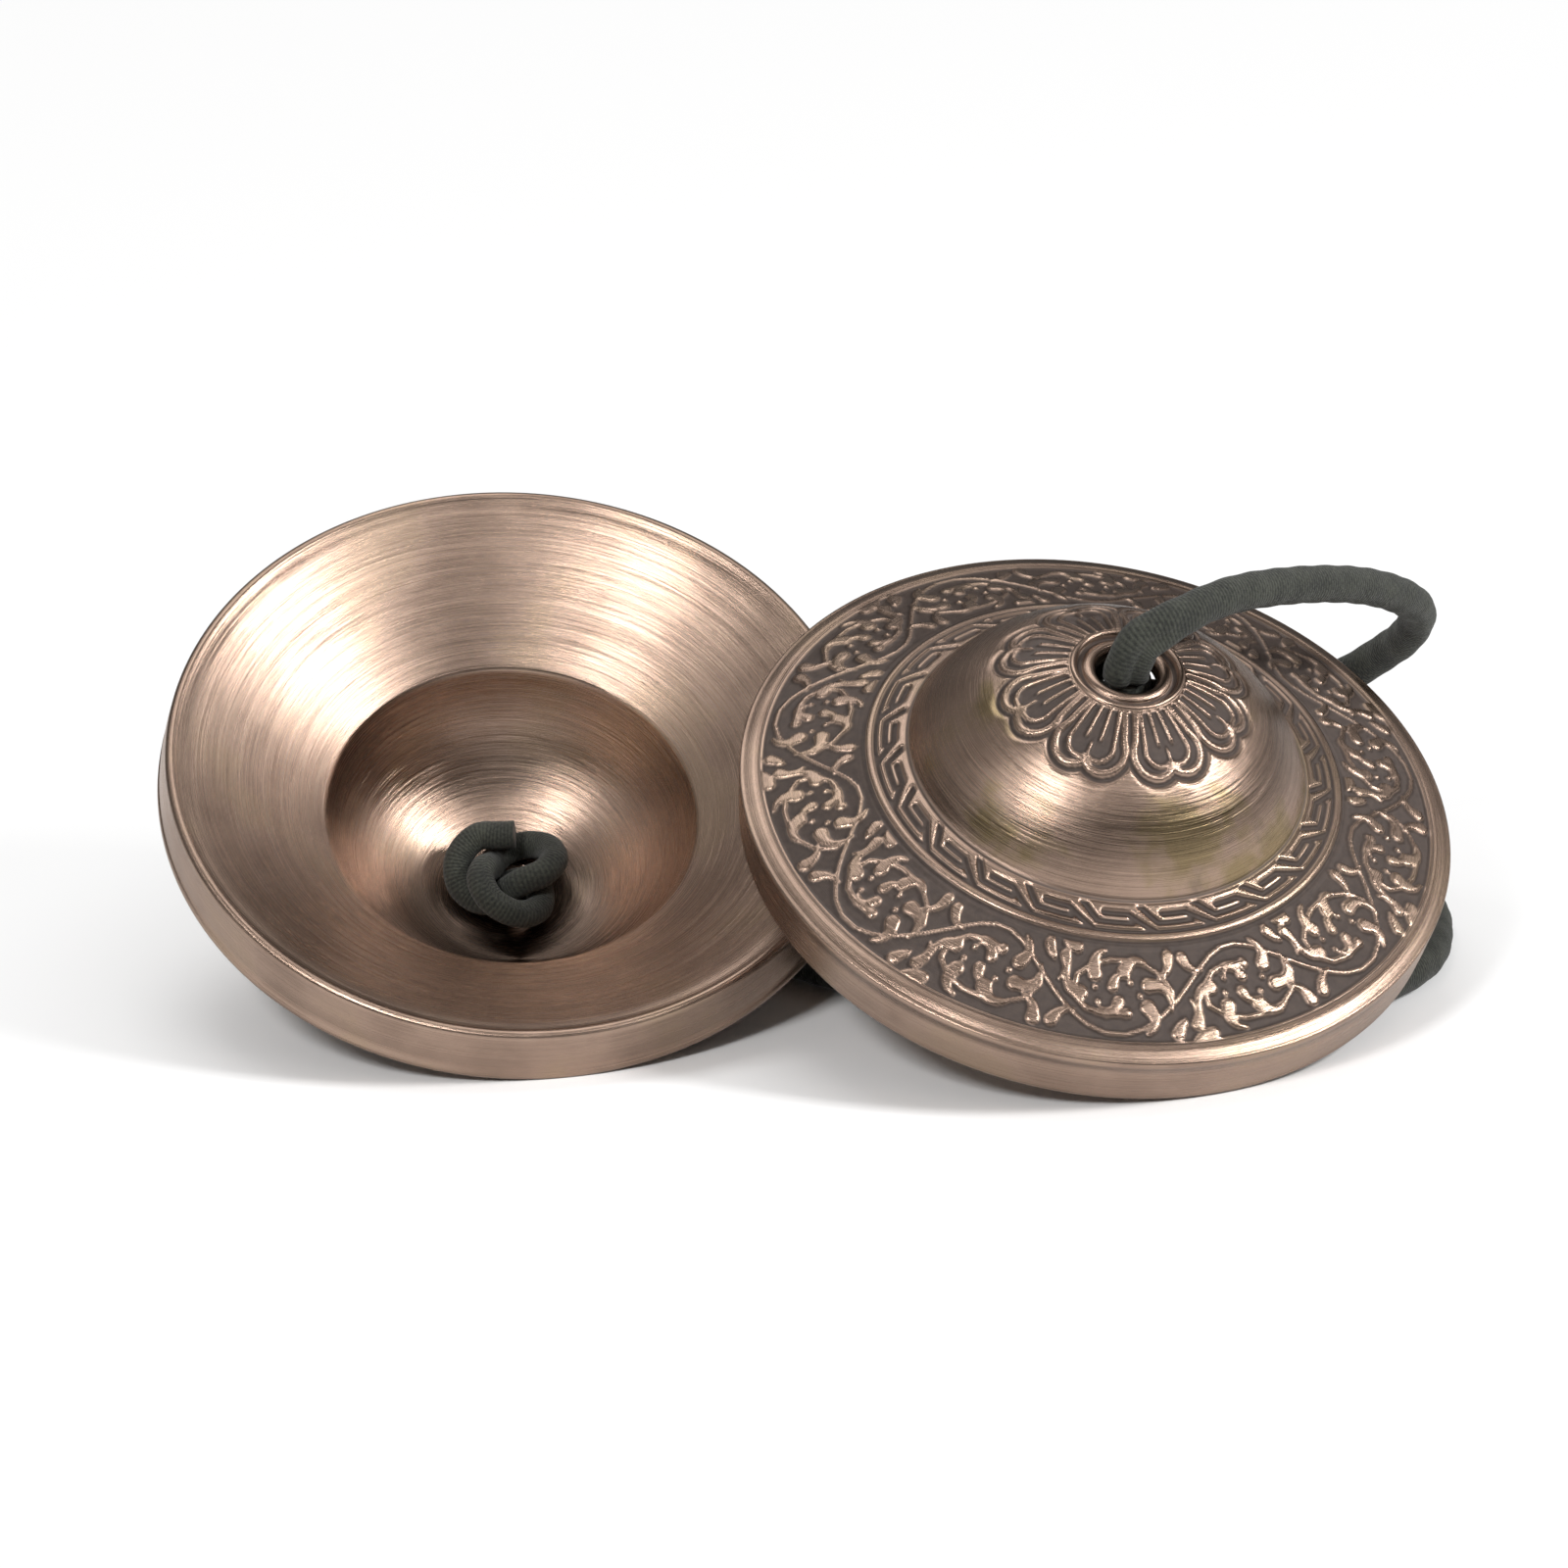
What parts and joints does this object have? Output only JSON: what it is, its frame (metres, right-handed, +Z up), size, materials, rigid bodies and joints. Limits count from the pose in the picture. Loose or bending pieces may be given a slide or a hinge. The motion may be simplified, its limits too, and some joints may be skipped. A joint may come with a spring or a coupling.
{
  "type": "tingsha",
  "caption": "Pair of small thick bronze hand cymbals with raised bosses, joined by one dark cord knotted inside each boss.",
  "frame": {"origin": "on the ground under the middle of the two cymbals' bounding box, the cord left out", "axes": "+X from the mouth-up cymbal to the boss-up cymbal, the longest extent; +Y away from the viewer; +Z up"},
  "size_m": [0.1185, 0.0687, 0.0406],
  "materials": {
    "bronze": "satin, brushed, antiqued in the recesses",
    "suede": "matte, fine ribbed"
  },
  "bodies": {
    "cord": {"cord": "suede", "knot_left": "suede", "knot_right": "suede"},
    "left": {"cymbal_left": "bronze"},
    "right": {"cymbal_right": "bronze"}
  },
  "joints": [
    {"name": "left_spin", "type": "hinge", "parent": "cord", "child": "left", "pos_m": [-0.02631, 0.00703, 0.01781], "axis": [-0.0917, 0.5403, -0.8365], "continuous": true},
    {"name": "right_spin", "type": "hinge", "parent": "cord", "child": "right", "pos_m": [0.02661, -0.00486, 0.01892], "axis": [0.1633, -0.4181, 0.8936], "continuous": true}
  ]
}
